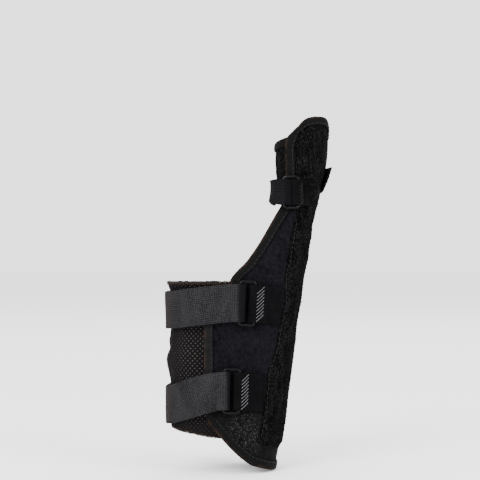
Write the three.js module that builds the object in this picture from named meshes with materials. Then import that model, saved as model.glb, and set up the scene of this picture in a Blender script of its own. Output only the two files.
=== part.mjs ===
// Thumb spica splint for the left hand, in millimetres.
// +Z runs from the forearm to the thumb tip, +X is the thumb side and -Y the back of the hand.
// The origin is the middle of the wrist hollow.
import * as THREE from "three";
import { mergeVertices } from "three/addons/utils/BufferGeometryUtils.js";

// Overall form of the limb that the splint holds
const splintLength = 236;
const wristHeight = 79;
const wristWidth = 80;
const wristDepth = 43;
const thumbWidth = 33;
const thumbDepth = 31;
const thumbOffset = 48;
const thumbDrop = 3.5;
const squareness = 0.05;

// A level is a share of the splint's length, from its lower edge, and z is measured from the wrist
const heightOf = (level) => level * splintLength - wristHeight;
const levelOf = (z) => (z + wristHeight) / splintLength;

// Cloth thicknesses and the air between layers
const panelWall = 3;
const sleeveWall = 1.6;
const flapWall = 2.4;
const pocketWall = 1.2;
const bindingWall = 0.6;
const bindingWidth = 5;
const seamGap = 0.3;
const layerGap = 0.4;
const foldGap = 0.5;
const foldSlack = 1;
const tuck = 9;

// Panel outline
const cornerRise = 35;
const bottomCurve = 2.2;

// Stretch mesh
const sleeveTop = heightOf(0.5297);
const sleeveBottom = heightOf(0.1186);
const sleeveSag = 6;
const sleeveBulge = 3;
const sleeveFlare = 2.2;
const sagShape = 1.6;
const bulgeShape = 1.5;
const freeFrom = 2;
const freeTo = 16;
const foldDepth = 1.6;
const foldPlace = 0.66;
const foldSpread = 0.08;

// Straps, rings and tabs
const strapWidth = 25;
const strapWall = 1.4;
const thumbStrapWidth = 17;
const thumbStrapWall = 1.2;
const upperStrapHeight = heightOf(0.4737);
const lowerStrapHeight = heightOf(0.2271);
const upperStrapTilt = 8.5;
const lowerStrapTilt = 21;
const upperRingTilt = -4;
const lowerRingTilt = -4.5;
const bendPlace = 10;
const bendSpread = 8;
const thumbStrapHeight = heightOf(0.786);
const thumbStrapTilt = 9;
const thumbStrapRise = 8;
const upperRingPlace = 12.2;
const lowerRingPlace = 2.3;
const thumbRingPlace = 43.5;
const ringBar = 2;
const ringSlot = 8;
const thumbRingSlot = 7.5;
const ringPlay = 0.8;
const ringCorner = 2;
const thumbTabLength = 6.5;
const tabWall = 1.2;
const tabStep = 1.5;

// Where the straps are sewn and end, in degrees, and how they settle past an edge and a ring
const wristAnchor = 288;
const wristEnd = 236;
const wristTent = 14;
const thumbAnchor = 300;
const thumbEnd = 385;
const thumbTent = 8;
const strapStep = 8;
const edgeStand = 4;
const edgeSettle = 6;
const foldReach = 2;
const foldRun = 5;

// Stay pocket and flap
const pocketTop = heightOf(0.7373);
const pocketSeam = 1;
const pocketGap = 0.5;
const flapBottom = heightOf(0.7627);
const flapTop = heightOf(0.928);
const flapRise = 5;
const flapShow = 2.5;

// Cells of the grids, and the panel's cells that the pocket covers
const panelColumns = 24;
const panelRows = 28;
const pocketFirst = 7;
const pocketLast = panelColumns - pocketFirst;
const pocketBottomRow = 2;
const pocketTopRow = 20;
const sleeveColumns = 20;
const sleeveRows = 14;
const flapColumns = 14;
const flapRows = 7;

// Heights of the layers over the inner face of the panel
const bindingTop = panelWall + seamGap + bindingWall;
const bindingUnder = -(seamGap + bindingWall);
const innerLayerTop = bindingUnder - layerGap;

const cloth = (color, roughness) =>
  new THREE.MeshStandardMaterial({ color, roughness, metalness: 0 });
const plush = cloth(0x1b1c20, 0.95);
const mesh = cloth(0x1d1b1d, 0.85);
const tape = cloth(0x242326, 0.8);
const webbing = cloth(0x34353a, 0.75);
const ringPlastic = new THREE.MeshStandardMaterial({
  color: 0x0d0d0f,
  roughness: 0.22,
  metalness: 0,
});

// Sections of the limb. Lean is a share of the thumb's offset, thumb goes from 0, arm, to 1, thumb,
// and wide and deep are shares of that part's own size.
const sections = [
  { level: 0, lean: -0.096, thumb: 0, wide: 0.838, deep: 1.2 },
  { level: 0.148, lean: -0.057, thumb: 0, wide: 0.936, deep: 1.17 },
  { level: 0.253, lean: -0.027, thumb: 0, wide: 0.973, deep: 1.07 },
  { level: 0.335, lean: 0, thumb: 0, wide: 1.005, deep: 1 },
  { level: 0.42, lean: 0.024, thumb: 0, wide: 1.034, deep: 0.98 },
  { level: 0.527, lean: 0.065, thumb: 0, wide: 1.083, deep: 0.95 },
  { level: 0.589, lean: 0.344, thumb: 0.315, wide: 1, deep: 0.97 },
  { level: 0.653, lean: 0.608, thumb: 0.753, wide: 1, deep: 1 },
  { level: 0.708, lean: 0.8, thumb: 1, wide: 0.935, deep: 0.99 },
  { level: 0.746, lean: 0.908, thumb: 1, wide: 0.82, deep: 0.95 },
  { level: 0.788, lean: 0.968, thumb: 1, wide: 0.81, deep: 0.93 },
  { level: 0.843, lean: 0.981, thumb: 1, wide: 0.958, deep: 0.97 },
  { level: 0.907, lean: 0.998, thumb: 1, wide: 1.03, deep: 1 },
  { level: 0.97, lean: 1.014, thumb: 1, wide: 0.985, deep: 0.97 },
  { level: 1, lean: 1.023, thumb: 1, wide: 0.92, deep: 0.9 },
];

// Side edges of the panel, as shares of the section's half width from its middle.
const edges = [
  { level: 0, dorsal: -0.28, palmar: -0.28 },
  { level: 0.148, dorsal: -0.28, palmar: -0.28 },
  { level: 0.284, dorsal: -0.35, palmar: -0.33 },
  { level: 0.418, dorsal: -0.381, palmar: -0.36 },
  { level: 0.462, dorsal: -0.298, palmar: -0.28 },
  { level: 0.496, dorsal: -0.176, palmar: -0.15 },
  { level: 0.525, dorsal: -0.032, palmar: -0.02 },
  { level: 0.571, dorsal: -0.07, palmar: 0.03 },
  { level: 0.617, dorsal: -0.135, palmar: 0 },
  { level: 0.663, dorsal: -0.26, palmar: -0.08 },
  { level: 0.709, dorsal: -0.42, palmar: -0.16 },
  { level: 0.746, dorsal: -0.46, palmar: -0.24 },
  { level: 0.775, dorsal: -0.46, palmar: -0.28 },
  { level: 0.809, dorsal: -0.43, palmar: -0.3 },
  { level: 0.864, dorsal: -0.44, palmar: -0.3 },
  { level: 0.919, dorsal: -0.48, palmar: -0.3 },
  { level: 0.96, dorsal: -0.36, palmar: -0.24 },
  { level: 1, dorsal: -0.3, palmar: -0.2 },
];

// Top edge of the panel over the thumb: around goes from 0, dorsal edge, to 1, palmar edge.
const arch = [
  { around: 0, level: 0.945 },
  { around: 0.03, level: 0.968 },
  { around: 0.07, level: 0.985 },
  { around: 0.13, level: 0.995 },
  { around: 0.25, level: 1 },
  { around: 0.33, level: 0.999 },
  { around: 0.4, level: 0.993 },
  { around: 0.46, level: 0.984 },
  { around: 0.52, level: 0.967 },
  { around: 0.62, level: 0.952 },
  { around: 0.8, level: 0.94 },
  { around: 1, level: 0.924 },
];

// Side edges of the stay pocket, as shares of the section's half width.
const pocketEdges = [
  { level: 0.03, reach: 0.58 },
  { level: 0.2, reach: 0.66 },
  { level: 0.27, reach: 0.66 },
  { level: 0.35, reach: 0.75 },
  { level: 0.42, reach: 0.78 },
  { level: 0.47, reach: 0.8 },
  { level: 0.589, reach: 0.68 },
  { level: 0.7, reach: 0.42 },
  { level: 0.72, reach: 0.52 },
  { level: 0.737, reach: 0.78 },
];

const degree = Math.PI / 180;
const clamp = THREE.MathUtils.clamp;
const smooth = THREE.MathUtils.smoothstep;

// A smooth curve through one column of a table that never overshoots its rows.
function tableCurve(rows, position, column) {
  const x = rows.map((row) => row[position]);
  const y = rows.map((row) => row[column]);
  const slope = x.slice(1).map((next, i) => (y[i + 1] - y[i]) / (next - x[i]));
  const tangent = x.map((_, i) => {
    const before = slope[i - 1] ?? slope[i];
    const after = slope[i] ?? before;
    return before * after > 0 ? (2 * before * after) / (before + after) : 0;
  });
  return (at) => {
    const t = clamp(at, x[0], x[x.length - 1]);
    let i = 0;
    while (i < x.length - 2 && t > x[i + 1]) i++;
    const span = x[i + 1] - x[i];
    const u = (t - x[i]) / span;
    const rise = u * u * (3 - 2 * u);
    const start = u * (1 - u) * (1 - u) * span * tangent[i];
    const end = u * u * (u - 1) * span * tangent[i + 1];
    return y[i] + (y[i + 1] - y[i]) * rise + start + end;
  };
}

const leanAt = tableCurve(sections, "level", "lean");
const thumbAt = tableCurve(sections, "level", "thumb");
const wideAt = tableCurve(sections, "level", "wide");
const deepAt = tableCurve(sections, "level", "deep");
const dorsalAt = tableCurve(edges, "level", "dorsal");
const palmarAt = tableCurve(edges, "level", "palmar");
const archAt = tableCurve(arch, "around", "level");
const pocketAt = tableCurve(pocketEdges, "level", "reach");

function sectionAt(z) {
  const level = levelOf(z);
  const thumb = thumbAt(level);
  const mix = THREE.MathUtils.lerp;
  return {
    x: thumbOffset * leanAt(level),
    y: thumbDrop * thumb,
    wide: (wideAt(level) * mix(wristWidth, thumbWidth, thumb)) / 2,
    deep: (deepAt(level) * mix(wristDepth, thumbDepth, thumb)) / 2,
  };
}

// Angles run from the thumb side, 0, over the back of the hand, 90, to the little finger side, 180.
const fullness = (angle) => 1 + squareness * Math.sin(2 * angle) ** 2;

function limb(angle, z) {
  const s = sectionAt(z);
  const k = fullness(angle);
  return new THREE.Vector3(
    s.x + s.wide * k * Math.cos(angle),
    s.y - s.deep * k * Math.sin(angle),
    z,
  );
}

function outward(angle, z) {
  const turn = 1e-3;
  const rise = 0.1;
  const round = limb(angle + turn, z).sub(limb(angle - turn, z));
  const up = limb(angle, z + rise).sub(limb(angle, z - rise));
  return round.cross(up).normalize().negate();
}

// A point at a height over the limb, where 0 is the inner face of the panel.
const skin = (angle, z, height) =>
  limb(angle, z).addScaledVector(outward(angle, z), height);

// Millimetres travelled for each radian at that place.
function pace(angle, z, height = 0) {
  const turn = 5e-3;
  return (
    skin(angle + turn, z, height).distanceTo(skin(angle - turn, z, height)) /
    (2 * turn)
  );
}

function angleOf(point) {
  const s = sectionAt(point.z);
  return Math.atan2((s.y - point.y) / s.deep, (point.x - s.x) / s.wide);
}

// Angle on the dorsal side where the section reaches a share of its half width.
function angleAcross(share) {
  let angle = Math.acos(share);
  for (let i = 0; i < 8; i++) angle = Math.acos(share / fullness(angle));
  return angle;
}

const dorsalEdge = (z) => angleAcross(dorsalAt(levelOf(z)));
const palmarEdge = (z) => -angleAcross(palmarAt(levelOf(z)));
const signed = (angle) => Math.atan2(Math.sin(angle), Math.cos(angle));

// Millimetres inside the panel from its nearer side edge, negative beyond it.
function insidePanel(angle, z) {
  const a = signed(angle);
  return Math.min(dorsalEdge(z) - a, a - palmarEdge(z)) * pace(a, z);
}

// Closed geometry from triangles of points, with the shared points merged.
function closedGeometry(points) {
  const soup = new THREE.BufferGeometry();
  const flat = points.flatMap((p) => [p.x, p.y, p.z]);
  soup.setAttribute("position", new THREE.Float32BufferAttribute(flat, 3));
  const merged = mergeVertices(soup, 1e-3);
  const index = merged.index.array;
  const kept = [];
  for (let i = 0; i < index.length; i += 3) {
    const [a, b, c] = [index[i], index[i + 1], index[i + 2]];
    if (a !== b && b !== c && c !== a) kept.push(a, b, c);
  }
  if (signedVolume(merged.attributes.position, kept) < 0) kept.reverse();
  merged.setIndex(kept);
  merged.computeVertexNormals();
  return merged;
}

function signedVolume(position, index) {
  const corner = (i) => new THREE.Vector3().fromBufferAttribute(position, index[i]);
  let volume = 0;
  for (let i = 0; i < index.length; i += 3)
    volume += corner(i).dot(corner(i + 1).cross(corner(i + 2))) / 6;
  return volume;
}

const quad = (a, b, c, d) => [a, b, c, a, c, d];

// A wall between two grids of points of the same size, closed round its rim.
function wallGeometry(outer, inner) {
  const points = [];
  const last = outer.length - 1;
  const end = outer[0].length - 1;
  for (let i = 0; i < last; i++)
    for (let j = 0; j < end; j++) {
      points.push(
        ...quad(outer[i][j], outer[i][j + 1], outer[i + 1][j + 1], outer[i + 1][j]),
        ...quad(inner[i][j], inner[i + 1][j], inner[i + 1][j + 1], inner[i][j + 1]),
      );
    }
  const rim = (i, j, k, l) =>
    points.push(...quad(outer[k][l], outer[i][j], inner[i][j], inner[k][l]));
  for (let i = 0; i < last; i++) {
    rim(i + 1, 0, i, 0);
    rim(i, end, i + 1, end);
  }
  for (let j = 0; j < end; j++) {
    rim(0, j, 0, j + 1);
    rim(last, j + 1, last, j);
  }
  return closedGeometry(points);
}

const grid = (columns, rows, place) =>
  Array.from({ length: columns + 1 }, (_, i) =>
    Array.from({ length: rows + 1 }, (_, j) => place(i, j)),
  );

// Value at step i of a line through stops, each a step and its value, with even steps between.
function alongStops(stops, i) {
  const k = Math.max(1, stops.findIndex(([step]) => step >= i));
  const [[from, start], [to, end]] = [stops[k - 1], stops[k]];
  return THREE.MathUtils.lerp(start, end, (i - from) / (to - from));
}

// Panel
const panelBottom = (around) =>
  heightOf(0) + cornerRise * Math.abs(1 - 2 * around) ** bottomCurve;
const panelTop = (around) => heightOf(archAt(around));

// Height of the tape on the panel's lower edge, more where the edge runs steeply.
function lowerTapeHeight(around) {
  const step = 1 / panelColumns;
  const low = panelBottom(around);
  const sweep = dorsalEdge(low) - palmarEdge(low);
  const run = pace(0, low) * sweep * step;
  const rise = panelBottom(around + step / 2) - panelBottom(around - step / 2);
  return bindingWidth * Math.hypot(1, rise / run);
}

function panelPlace(i, j) {
  const around = i / panelColumns;
  const low = panelBottom(around);
  const high = panelTop(around);
  const z = alongStops(
    [
      [0, low],
      [1, low + lowerTapeHeight(around)],
      [pocketTopRow, pocketTop],
      [panelRows - 1, high - bindingWidth],
      [panelRows, high],
    ],
    j,
  );
  const from = dorsalEdge(z);
  const to = palmarEdge(z);
  const tape = (edge) => {
    const edgeAt = (height) => skin(edge(height), height, 0).x;
    const lean = (edgeAt(z + 1) - edgeAt(z - 1)) / 2;
    return (bindingWidth * Math.hypot(1, lean)) / pace(edge(z), z);
  };
  const reach = angleAcross(pocketAt(levelOf(z)));
  const angle = alongStops(
    [
      [0, from],
      [1, from - tape(dorsalEdge)],
      [pocketFirst, reach],
      [pocketLast, -reach],
      [panelColumns - 1, to + tape(palmarEdge)],
      [panelColumns, to],
    ],
    i,
  );
  return { angle, z };
}

const panelGrid = grid(panelColumns, panelRows, panelPlace);
const raise = (places, height) =>
  places.map((column) => column.map((p) => skin(p.angle, p.z, height)));
const panel = wallGeometry(raise(panelGrid, panelWall), raise(panelGrid, 0));

// A tape of U section over the border cells of a wall. The loop lists border points of the grid,
// each with its partner one cell further in; an open loop gets ends.
function tapeGeometry(places, wall, base, loop, open) {
  const at = ([i, j], height) => skin(places[i][j].angle, places[i][j].z, height);
  const count = loop.length;
  const pick = (k) => (open ? clamp(k, 0, count - 1) : (k + count) % count);
  const beyond = loop.map(({ border }, k) => {
    const here = at(border, base);
    const out = outward(places[border[0]][border[1]].angle, here.z);
    const side = (from, to) =>
      at(loop[to].border, base).sub(at(loop[from].border, base)).cross(out).normalize();
    const before = pick(k - 1) === k ? null : side(pick(k - 1), k);
    const after = pick(k + 1) === k ? null : side(k, pick(k + 1));
    const first = before ?? after;
    const second = after ?? before;
    return first.clone().add(second).divideScalar(1 + first.dot(second));
  });
  const low = base - seamGap;
  const high = base + wall + seamGap;
  const ring = loop.map(({ border, partner }, k) => {
    const past = (height, reach) => at(border, height).addScaledVector(beyond[k], reach);
    return [
      at(partner, high),
      at(partner, high + bindingWall),
      past(high + bindingWall, seamGap + bindingWall),
      past(low - bindingWall, seamGap + bindingWall),
      at(partner, low - bindingWall),
      at(partner, low),
      past(low, seamGap),
      past(high, seamGap),
    ];
  });
  const points = [];
  const stretch = open ? count - 1 : count;
  for (let k = 0; k < stretch; k++) {
    const a = ring[k];
    const b = ring[pick(k + 1)];
    a.forEach((_, m) => {
      const n = (m + 1) % a.length;
      points.push(...quad(a[m], b[m], b[n], a[n]));
    });
  }
  if (open) {
    const cap = (r) => [
      ...quad(r[0], r[1], r[2], r[7]),
      ...quad(r[7], r[2], r[3], r[6]),
      ...quad(r[6], r[3], r[4], r[5]),
    ];
    points.push(...cap(ring[0]), ...cap(ring[count - 1]).reverse());
  }
  return closedGeometry(points);
}

// The whole border of a grid, anticlockwise seen from outside.
function borderLoop(columns, rows) {
  const inside = (i, j) => [clamp(i, 1, columns - 1), clamp(j, 1, rows - 1)];
  const loop = [];
  const add = (i, j) => loop.push({ border: [i, j], partner: inside(i, j) });
  for (let i = 0; i < columns; i++) add(i, 0);
  for (let j = 0; j < rows; j++) add(columns, j);
  for (let i = columns; i > 0; i--) add(i, rows);
  for (let j = rows; j > 0; j--) add(0, j);
  return loop;
}

const binding = tapeGeometry(panelGrid, panelWall, 0, borderLoop(panelColumns, panelRows), false);

// Straps follow a track round the limb: the height of their middle line at each angle.
// A wrist strap slants up to its ring, at the middle height, and turns to the ring's own tilt there.
function bentTrack(middle, place, strapTilt, ringTilt) {
  const far = Math.tan(strapTilt * degree) / 2;
  const near = Math.tan(ringTilt * degree) / 2;
  const bend = (x) => (near + far) * x + (near - far) * Math.hypot(x + bendPlace, bendSpread);
  return (angle) => middle + bend(limb(angle, middle).x - place) - bend(0);
}
const upperTrack = bentTrack(upperStrapHeight, upperRingPlace, upperStrapTilt, upperRingTilt);
const lowerTrack = bentTrack(lowerStrapHeight, lowerRingPlace, lowerStrapTilt, lowerRingTilt);

const thumbRingAngle = Math.acos(
  (thumbRingPlace - sectionAt(thumbStrapHeight).x) / sectionAt(thumbStrapHeight).wide,
);
const thumbTrack = (angle) =>
  thumbStrapHeight +
  Math.tan(thumbStrapTilt * degree) * (limb(angle, thumbStrapHeight).x - thumbRingPlace) +
  (thumbStrapRise * (angle - thumbRingAngle)) / (thumbEnd * degree - thumbRingAngle);

// Directions of a track: along it, across it and out from the limb.
function trackFrame(track, angle) {
  const turn = 0.01;
  const z = track(angle);
  const along = skin(angle + turn, track(angle + turn), 0)
    .sub(skin(angle - turn, track(angle - turn), 0))
    .normalize();
  const out = outward(angle, z);
  const side = along.clone().cross(out).normalize();
  return { z, along: out.clone().cross(side).normalize(), side, out };
}

function trackPlace(track, angle, across) {
  const frame = trackFrame(track, angle);
  const spot = skin(angle, frame.z, 0).addScaledVector(frame.side, across);
  return { angle: angleOf(spot), z: spot.z };
}

function onTrack(track, angle, across, height) {
  const place = trackPlace(track, angle, across);
  return skin(place.angle, place.z, height);
}

// A ribbon of cloth whose middle line is a list of angles and heights. Where flat is 1 it lies
// straight across, along the ring's side, and where it is 0 it follows the limb.
function ribbonGeometry(track, line, wall, width, side) {
  const cells = 2;
  const face = (facing) =>
    line.map((here, k) => {
      const before = line[Math.max(k - 1, 0)];
      const after = line[Math.min(k + 1, line.length - 1)];
      const speed = pace(here.angle, track(here.angle), here.height);
      const run = (after.angle - before.angle) * speed;
      const rise = after.height - before.height;
      const offset = (facing * wall) / 2 / Math.hypot(run, rise);
      const angle = here.angle + (rise * offset) / speed;
      const height = here.height - run * offset;
      const middle = skin(angle, track(angle), height);
      return Array.from({ length: cells + 1 }, (_, j) => {
        const across = (j / cells - 0.5) * width;
        const straight = middle.clone().addScaledVector(side, across);
        return onTrack(track, angle, across, height).lerp(straight, here.flat);
      });
    });
  return wallGeometry(face(1), face(-1));
}

// Height of what lies under a strap: tape at the panel's edges, panel inside, inner layer outside.
function restingHeight(track, angle, width, tent) {
  const heights = [-0.5, -0.25, 0, 0.25, 0.5].map((share) => {
    const place = trackPlace(track, angle, share * width);
    const inside = insidePanel(place.angle, place.z);
    const settled = bindingWidth + edgeStand;
    const off = smooth(-inside, edgeStand, edgeStand + tent);
    const on = smooth(inside, settled, settled + edgeSettle);
    const outer = THREE.MathUtils.lerp(bindingTop, innerLayerTop, off);
    return THREE.MathUtils.lerp(outer, panelWall, on);
  });
  return Math.max(...heights);
}

// How far the limb rises over a straight line laid across the track.
function crown(track, angle, width) {
  const frame = trackFrame(track, angle);
  const middle = skin(angle, frame.z, 0);
  const rise = (across) => onTrack(track, angle, across, 0).sub(middle).dot(frame.out);
  return Math.max(0, rise(-width / 2), rise(width / 2));
}

// Places on a track of the two bars of a ring, found from the flat ring itself.
function barPlace(track, ringAngle, ringHeight, shift) {
  const frame = trackFrame(track, ringAngle);
  const bar = skin(ringAngle, frame.z, ringHeight).addScaledVector(frame.along, shift);
  let angle = ringAngle + shift / pace(ringAngle, frame.z);
  let height = ringHeight;
  for (let i = 0; i < 6; i++) {
    const z = track(angle);
    const here = trackFrame(track, angle);
    const away = bar.clone().sub(skin(angle, z, 0));
    height = away.dot(here.out);
    angle += away.dot(here.along) / pace(angle, z, height);
  }
  return { angle, height };
}

// Half a turn round a bar, from under it to over it; side is 1 where the cloth lies to the left.
function foldLine(track, bar, radius, side) {
  const steps = 6;
  const speed = pace(bar.angle, track(bar.angle), bar.height);
  return Array.from({ length: steps + 1 }, (_, i) => {
    const turn = -Math.PI / 2 + (Math.PI * i) / steps;
    return {
      angle: bar.angle - (side * (radius + foldSlack) * Math.cos(turn)) / speed,
      height: bar.height + radius * Math.sin(turn),
      flat: 1,
    };
  });
}

const between = (from, to, step) => {
  const steps = Math.max(1, Math.round(Math.abs(to - from) / step));
  return Array.from({ length: steps + 1 }, (_, i) => from + ((to - from) * i) / steps);
};

// A strap from its sewn end round the limb, through the ring and back over itself.
function strapGeometry({ track, width, wall, bar, side, tent, ...ends }) {
  const anchor = ends.anchor * degree;
  const end = ends.end * degree;
  const step = strapStep * degree;
  const radius = ringBar / 2 + foldGap + wall / 2;
  const reach = foldReach / pace(bar.angle, track(bar.angle));
  const run = foldRun / pace(bar.angle, track(bar.angle));
  const flat = (angle) => 1 - smooth(angle - bar.angle, reach, reach + run);
  const rest = (angle) => {
    const crowned = flat(angle) > 0 ? crown(track, angle, width) : 0;
    return restingHeight(track, angle, width, tent) + crowned + layerGap + wall / 2;
  };
  const rise = (low, high, angle) => low + flat(angle) * Math.max(0, high - low);
  const under = (angle) => rise(rest(angle), bar.height - radius, angle);
  const over = (angle) => {
    const doubled = 1 - smooth(angle, anchor, anchor + step);
    const low = Math.max(rest(angle), under(Math.min(angle, anchor)) * doubled);
    return rise(low + doubled * (wall + layerGap), bar.height + radius, angle);
  };
  const layer = (from, to, height) =>
    between(from, to, step).map((angle) => ({
      angle,
      height: height(angle),
      flat: flat(angle),
    }));
  const fold = foldLine(track, bar, radius, 1).slice(1, -1);
  const line = [...layer(anchor, bar.angle, under), ...fold, ...layer(bar.angle, end, over)];
  return ribbonGeometry(track, line, wall, width, side);
}

// Distance from a bar to the pocket's edge, less the seam, where the strap's width crosses it.
function pocketDistance(track, bar, width) {
  const speed = pace(bar.angle, track(bar.angle));
  const gaps = [-0.5, 0, 0.5].map((share) => {
    const { angle, z } = trackPlace(track, bar.angle, share * width);
    return (angle - angleAcross(pocketAt(levelOf(z)))) * speed;
  });
  return Math.min(...gaps) - pocketSeam;
}

// A tab folded round the ring's other bar and laid on the panel.
function tabGeometry({ track, width, wall, length, bar, side }) {
  const radius = ringBar / 2 + foldGap + wall / 2;
  const speed = pace(bar.angle, track(bar.angle));
  const low = panelWall + layerGap + wall / 2;
  const high = low + wall + seamGap;
  const shares = [0, 0.15, 0.3, 0.5, 0.75, 1];
  const leg = (from, to, shorter) =>
    shares.map((share) => ({
      angle: bar.angle - (share * (length - shorter)) / speed,
      height: THREE.MathUtils.lerp(from, to, smooth(share, 0.1, 0.6)),
      flat: 1 - smooth(share, 0.2, 0.7),
    }));
  const under = leg(bar.height - radius, low, 0).reverse();
  const over = leg(bar.height + radius, high, tabStep);
  const fold = foldLine(track, bar, radius, -1).slice(1, -1);
  return ribbonGeometry(track, [...under, ...fold, ...over], wall, width, side);
}

function roundedRectangle(width, height, corner) {
  const [x, y] = [width / 2, height / 2];
  const shape = new THREE.Path();
  shape.moveTo(x - corner, -y);
  shape.absarc(x - corner, -y + corner, corner, -Math.PI / 2, 0);
  shape.absarc(x - corner, y - corner, corner, 0, Math.PI / 2);
  shape.absarc(-x + corner, y - corner, corner, Math.PI / 2, Math.PI);
  shape.absarc(-x + corner, -y + corner, corner, Math.PI, 1.5 * Math.PI);
  shape.closePath();
  return shape;
}

function ringGeometry(slot, strap) {
  const inner = roundedRectangle(slot, strap + 2 * ringPlay, ringCorner - ringBar / 2);
  const outer = roundedRectangle(slot + 2 * ringBar, strap + 2 * (ringPlay + ringBar), ringCorner);
  const shape = new THREE.Shape(outer.getPoints(2));
  shape.holes.push(new THREE.Path(inner.getPoints(2)));
  const bevel = ringBar / 5;
  const ring = new THREE.ExtrudeGeometry(shape, {
    depth: ringBar - 2 * bevel,
    bevelThickness: bevel,
    bevelSize: bevel,
    bevelOffset: -bevel,
    bevelSegments: 1,
  });
  return ring.translate(0, 0, bevel - ringBar / 2);
}

function placeOnTrack(object, track, angle, height) {
  const frame = trackFrame(track, angle);
  const turn = new THREE.Matrix4().makeBasis(frame.along, frame.side.clone().negate(), frame.out);
  object.position.copy(skin(angle, frame.z, height));
  object.quaternion.setFromRotationMatrix(turn);
}

const splint = new THREE.Group();

function add(name, geometry, material) {
  const piece = new THREE.Mesh(geometry, material);
  piece.name = name;
  splint.add(piece);
  return piece;
}

add("shell_panel", panel, plush);
add("shell_binding", binding, tape);

// Stay pocket, over the panel's own cells between its two side seams
const pocketSeat = panelWall + pocketGap;
const pocketGrid = panelGrid
  .slice(pocketFirst, pocketLast + 1)
  .map((column) => column.slice(pocketBottomRow, pocketTopRow + 1));
add(
  "stay_pocket",
  wallGeometry(raise(pocketGrid, pocketSeat + pocketWall), raise(pocketGrid, pocketSeat)),
  plush,
);

// Stretch mesh, from under the panel's palmar edge round to under its dorsal edge
const turnBack = 2 * Math.PI;

function sleeveRise(angle, z) {
  const half = strapWidth / 2;
  const low = lowerTrack(angle) + half;
  const high = upperTrack(angle) - half;
  const share = clamp((z - low) / (high - low), 0, 1);
  const above = clamp((z - upperTrack(angle) - half) / (sleeveTop - high), 0, 1);
  const swell = Math.sin(Math.PI * share);
  const fold = foldDepth * Math.exp(-(((share - foldPlace) / foldSpread) ** 2));
  const bulge = sleeveBulge * swell ** bulgeShape;
  const free = smooth(-insidePanel(angle, z), freeFrom, freeTo);
  return free * (Math.max(0, bulge - fold * swell) + sleeveFlare * above);
}

const sleeveGrid = grid(sleeveColumns, sleeveRows, (i, j) => {
  const around = i / sleeveColumns;
  const low = sleeveBottom - sleeveSag * Math.abs(2 * around - 1) ** sagShape;
  const z = THREE.MathUtils.lerp(low, sleeveTop, j / sleeveRows);
  const from = palmarEdge(z) + turnBack + tuck / pace(palmarEdge(z), z);
  const to = dorsalEdge(z) - tuck / pace(dorsalEdge(z), z);
  const angle = THREE.MathUtils.lerp(from, to, around);
  return { angle, z, rise: sleeveRise(angle, z) };
});
const sleeveFace = (height) =>
  sleeveGrid.map((column) => column.map((p) => skin(p.angle, p.z, height + p.rise)));
add(
  "mesh_sleeve",
  wallGeometry(sleeveFace(innerLayerTop), sleeveFace(innerLayerTop - sleeveWall)),
  mesh,
);

// Thumb flap, tucked under the panel at both sides, with a tape on the top edge that shows
const flapGrid = grid(flapColumns, flapRows, (i, j) => {
  const around = i / flapColumns;
  const high = flapTop + flapRise * smooth(around, 0.5, 1);
  const z = alongStops(
    [
      [0, flapBottom],
      [flapRows - 1, high - bindingWidth],
      [flapRows, high],
    ],
    j,
  );
  const from = palmarEdge(z) + turnBack + tuck / pace(palmarEdge(z), z);
  const to = dorsalEdge(z) - tuck / pace(dorsalEdge(z), z);
  const hidden = (tuck + flapShow) / pace(Math.PI / 2, z);
  const angle = alongStops(
    [
      [0, from],
      [1, from - hidden],
      [flapColumns - 1, to + hidden],
      [flapColumns, to],
    ],
    i,
  );
  return { angle, z };
});
const flapBase = innerLayerTop - flapWall;
add("thumb_flap", wallGeometry(raise(flapGrid, innerLayerTop), raise(flapGrid, flapBase)), plush);
const flapEdge = Array.from({ length: flapColumns - 1 }, (_, i) => ({
  border: [flapColumns - 1 - i, flapRows],
  partner: [flapColumns - 1 - i, flapRows - 1],
}));
add("flap_binding", tapeGeometry(flapGrid, flapWall, flapBase, flapEdge, true), tape);

// Straps with their rings and tabs
function fastening({ name, track, width, wall, slot, place, anchor, end, tent, length }) {
  const s = sectionAt(track(Math.PI / 2));
  const ringAngle = angleAcross((place - s.x) / s.wide);
  const stand = crown(track, ringAngle, width) + layerGap;
  const ringHeight = bindingTop + stand + wall + foldGap + ringBar / 2;
  const shift = (slot + ringBar) / 2;
  const left = barPlace(track, ringAngle, ringHeight, shift);
  const right = barPlace(track, ringAngle, ringHeight, -shift);
  const { side } = trackFrame(track, ringAngle);
  const strap = strapGeometry({ track, width, wall, anchor, end, tent, bar: left, side });
  const tabLength = length ?? pocketDistance(track, right, width);
  const tab = { track, width, wall: tabWall, length: tabLength, bar: right, side };
  add(name + "_strap", strap, webbing);
  add(name + "_ring_tab", tabGeometry(tab), webbing);
  const ring = add(name + "_ring", ringGeometry(slot, width), ringPlastic);
  placeOnTrack(ring, track, ringAngle, ringHeight);
}

fastening({
  name: "upper",
  track: upperTrack,
  width: strapWidth,
  wall: strapWall,
  slot: ringSlot,
  place: upperRingPlace,
  anchor: wristAnchor,
  end: wristEnd,
  tent: wristTent,
});
fastening({
  name: "lower",
  track: lowerTrack,
  width: strapWidth,
  wall: strapWall,
  slot: ringSlot,
  place: lowerRingPlace,
  anchor: wristAnchor,
  end: wristEnd,
  tent: wristTent,
});
fastening({
  name: "thumb",
  track: thumbTrack,
  width: thumbStrapWidth,
  wall: thumbStrapWall,
  slot: thumbRingSlot,
  place: thumbRingPlace,
  anchor: thumbAnchor,
  end: thumbEnd,
  tent: thumbTent,
  length: thumbTabLength,
});

export default splint;
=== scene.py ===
"""Looks of a left-hand thumb spica splint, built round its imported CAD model. Lengths in the
sections are millimetres, as on a pattern, and go into the meshes as metres."""

import math

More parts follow.
